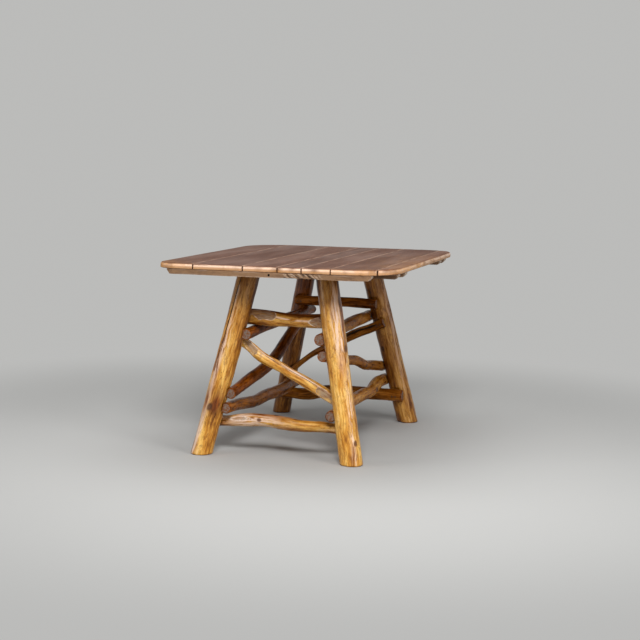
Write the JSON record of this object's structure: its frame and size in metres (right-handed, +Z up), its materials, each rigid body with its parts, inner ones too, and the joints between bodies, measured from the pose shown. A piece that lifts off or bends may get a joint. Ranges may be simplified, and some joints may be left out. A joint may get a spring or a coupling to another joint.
{
  "type": "rustic hickory table",
  "caption": "Rustic plank-top table on splayed log legs, braced by crooked branch stretchers lapped and nailed to the legs on every side.",
  "frame": {"origin": "on the floor, under the middle of the top", "axes": "+Z up, +Y along the boards, -Y the front short side, +X to the right of someone facing the front"},
  "size_m": [0.915, 1.22, 0.74],
  "materials": {
    "board": "red-brown stain under satin varnish, worn along the seams",
    "batten": "pale sawn wood, grey-cream, thin varnish",
    "leg_log": "peeled hickory pole, honey-amber gloss varnish with dark checks",
    "front_branch": "peeled branch, honey-amber gloss varnish",
    "inner_branch": "peeled branch, dark red-brown gloss varnish",
    "nail": "dull dark steel",
    "screw": "zinc-plated steel, dulled"
  },
  "bodies": {
    "root": {"back_diagonal": "inner_branch", "back_edge_batten": "batten", "back_edge_batten_screws": "screw", "back_inner_cleat": "batten", "back_inner_cleat_screws": "screw", "back_left_leg": "leg_log", "back_lower_rail": "inner_branch", "back_nails": "nail", "back_outer_cleat": "batten", "back_outer_cleat_screws": "screw", "back_right_leg": "leg_log", "back_upper_rail": "inner_branch", "front_diagonal": "front_branch", "front_edge_batten": "batten", "front_edge_batten_screws": "screw", "front_inner_cleat": "batten", "front_inner_cleat_screws": "screw", "front_left_leg": "leg_log", "front_lower_rail": "front_branch", "front_nails": "nail", "front_outer_cleat": "batten", "front_outer_cleat_screws": "screw", "front_right_leg": "leg_log", "front_upper_rail": "front_branch", "left_diagonal": "inner_branch", "left_lower_rail": "inner_branch", "left_nails": "nail", "left_upper_rail": "inner_branch", "leg_head_screws": "screw", "right_diagonal": "inner_branch", "right_lower_rail": "inner_branch", "right_nails": "nail", "right_upper_rail": "inner_branch", "top_board_1": "board", "top_board_2": "board", "top_board_3": "board", "top_board_4": "board", "top_board_5": "board", "top_board_6": "board", "top_board_7": "board"}
  },
  "joints": []
}
